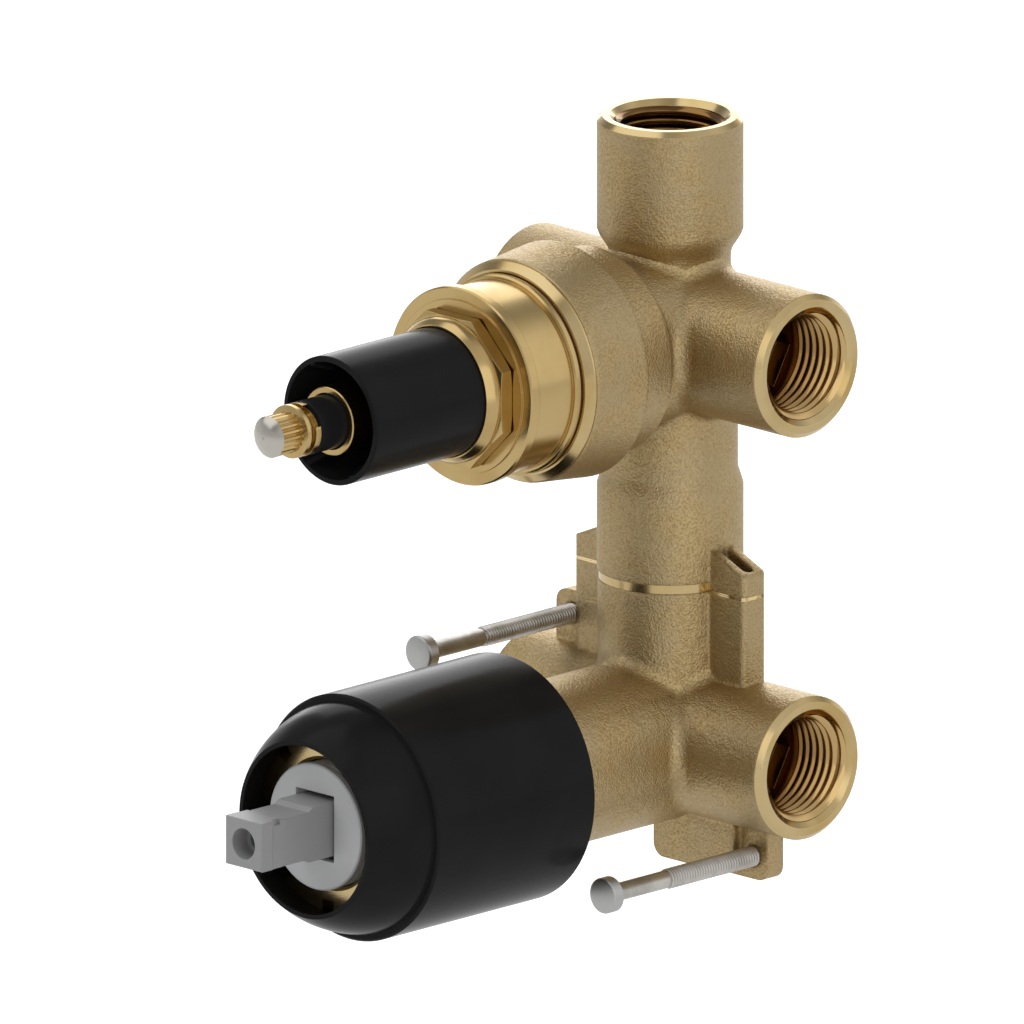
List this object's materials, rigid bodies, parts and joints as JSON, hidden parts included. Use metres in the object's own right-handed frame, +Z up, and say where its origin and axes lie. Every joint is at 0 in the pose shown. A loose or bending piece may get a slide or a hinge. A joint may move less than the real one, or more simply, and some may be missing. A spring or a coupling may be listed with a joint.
{
  "type": "concealed shower mixer with diverter",
  "caption": "Concealed brass shower valve body: lever mixing cartridge below, turning diverter above, threaded side and top ports, black fitting sleeves.",
  "frame": {"origin": "crossing of the lower mixing axis and the upright pipe axis", "axes": "-Y towards the room, out of the wall; +X towards the right ports seen from the room; +Z up, towards the diverter and the top outlet"},
  "size_m": [0.0754, 0.1304, 0.1472],
  "materials": {
    "cast_brass": "sand cast, satin",
    "turned_brass": "turned, bright",
    "black_plastic": "glossy",
    "grey_plastic": "smooth",
    "white_plastic": "smooth",
    "rubber_seal": "matte",
    "steel": "bright",
    "ceramic": "lapped ceramic"
  },
  "bodies": {
    "fixed": {"mixer_body": "cast_brass", "diverter_body": "cast_brass", "joint_o_ring": "rubber_seal", "joint_screw_left": "steel", "joint_screw_right": "steel", "trim_screw_left": "steel", "trim_screw_right": "steel", "mixer_sleeve": "black_plastic", "sleeve_o_ring": "rubber_seal", "cartridge_nut": "turned_brass", "cartridge_base": "grey_plastic", "base_seal_1": "rubber_seal", "base_seal_2": "rubber_seal", "base_seal_3": "rubber_seal", "cartridge_housing": "white_plastic", "fixed_disc": "ceramic", "headwork_collar": "turned_brass", "collar_o_ring": "rubber_seal", "gland_nut": "turned_brass", "diverter_sleeve": "black_plastic", "diverter_housing": "turned_brass", "stem_bush": "black_plastic", "diverter_fixed_disc": "ceramic", "diverter_seat_seal": "rubber_seal"},
    "rotor": {"cartridge_rotor": "white_plastic", "stem_disc": "grey_plastic", "lever_pivot_pin": "steel"},
    "lever": {"mixing_lever": "grey_plastic"},
    "carrier": {"disc_carrier": "white_plastic", "moving_disc": "ceramic"},
    "spindle": {"diverter_spindle": "turned_brass", "spindle_end_cap": "grey_plastic", "spindle_clip": "steel", "spindle_o_ring_1": "rubber_seal", "spindle_o_ring_2": "rubber_seal", "diverter_drive": "turned_brass", "diverter_moving_disc": "ceramic"}
  },
  "joints": [
    {"name": "lever_turn", "type": "hinge", "parent": "fixed", "child": "rotor", "pos_m": [0, -0.0968, 0], "axis": [0, -1, 0], "range_deg": [-50, 50]},
    {"name": "lever_tilt", "type": "hinge", "parent": "rotor", "child": "lever", "pos_m": [0, -0.093, 0], "axis": [-1, 0, 0], "range_deg": [-12.5, 12.5]},
    {"name": "disc_slide", "type": "slide", "parent": "rotor", "child": "carrier", "axis": [0, 0, -1], "range_m": [-0.003, 0.003]},
    {"name": "diverter_turn", "type": "hinge", "parent": "fixed", "child": "spindle", "pos_m": [0, -0.1, 0.08], "axis": [0, -1, 0], "range_deg": [-90, 90]}
  ],
  "couplings": [
    {"joint": "lever_tilt", "follows": "disc_slide", "rad_per_m": 72.5}
  ]
}
